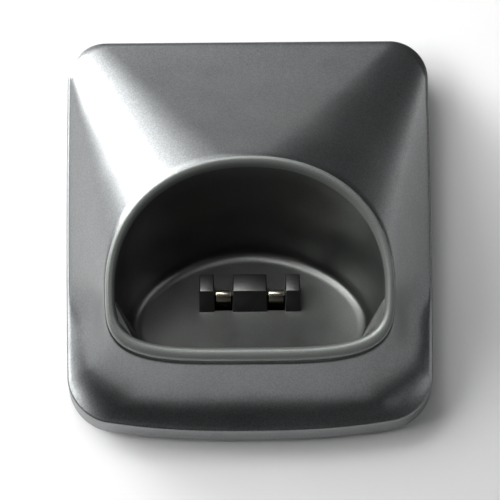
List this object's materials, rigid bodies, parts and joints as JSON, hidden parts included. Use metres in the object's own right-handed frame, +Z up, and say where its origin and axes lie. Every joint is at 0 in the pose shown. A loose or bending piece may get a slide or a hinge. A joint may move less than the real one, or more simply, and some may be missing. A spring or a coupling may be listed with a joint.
{
  "type": "cordless phone charging base",
  "caption": "Flared desk charging base with a D-shaped leaning well, sprung charging contacts, rubber feet and an underside power inlet.",
  "frame": {"origin": "middle of the base's outline, on the surface that its feet stand on", "axes": "+X to the right of a person facing the front, +Y to the rear, +Z up"},
  "size_m": [0.075, 0.0826, 0.042],
  "materials": {
    "shell_paint": "satin dark metallic paint",
    "cup_plastic": "satin moulded, faint grain",
    "black_plastic": "fine texture",
    "foot_rubber": "matte",
    "label_film": "blank film",
    "contact_metal": "nickel plated, smooth",
    "screw_steel": "zinc plated",
    "board_laminate": "bare laminate with copper pads",
    "can_sleeve": "shrink sleeve",
    "resistor_coat": "satin coating",
    "red_insulation": "satin",
    "black_insulation": "satin"
  },
  "bodies": {
    "base": {"top_shell": "shell_paint", "handset_cup": "cup_plastic", "contact_retainer": "black_plastic", "retainer_screw_left": "screw_steel", "retainer_screw_right": "screw_steel", "cup_screw_left": "screw_steel", "cup_screw_right": "screw_steel", "bottom_cover": "black_plastic", "case_screw_front_left": "screw_steel", "case_screw_front_right": "screw_steel", "case_screw_rear_left": "screw_steel", "case_screw_rear_right": "screw_steel", "rubber_foot_front_left": "foot_rubber", "rubber_foot_front_right": "foot_rubber", "rubber_foot_rear_left": "foot_rubber", "rubber_foot_rear_right": "foot_rubber", "rating_label": "label_film", "charge_board": "board_laminate", "board_screw_left": "screw_steel", "board_screw_right": "screw_steel", "dc_jack_body": "black_plastic", "dc_jack_pin": "contact_metal", "dc_jack_spring": "contact_metal", "capacitor": "can_sleeve", "diode": "black_plastic", "resistor_front": "resistor_coat", "resistor_rear": "resistor_coat", "lead_wire_left": "red_insulation", "lead_wire_right": "black_insulation"},
    "contact_left": {"contact_spring_left": "contact_metal"},
    "contact_right": {"contact_spring_right": "contact_metal"}
  },
  "joints": [
    {"name": "contact_left_press", "type": "hinge", "parent": "base", "child": "contact_left", "pos_m": [-0.00535, -0.00593, 0.00687], "axis": [1, 0, 0], "range_deg": [0, 5], "stiffness_Nm_per_rad": 0.09},
    {"name": "contact_right_press", "type": "hinge", "parent": "base", "child": "contact_right", "pos_m": [0.00535, -0.00593, 0.00687], "axis": [1, 0, 0], "range_deg": [0, 5], "stiffness_Nm_per_rad": 0.09}
  ]
}
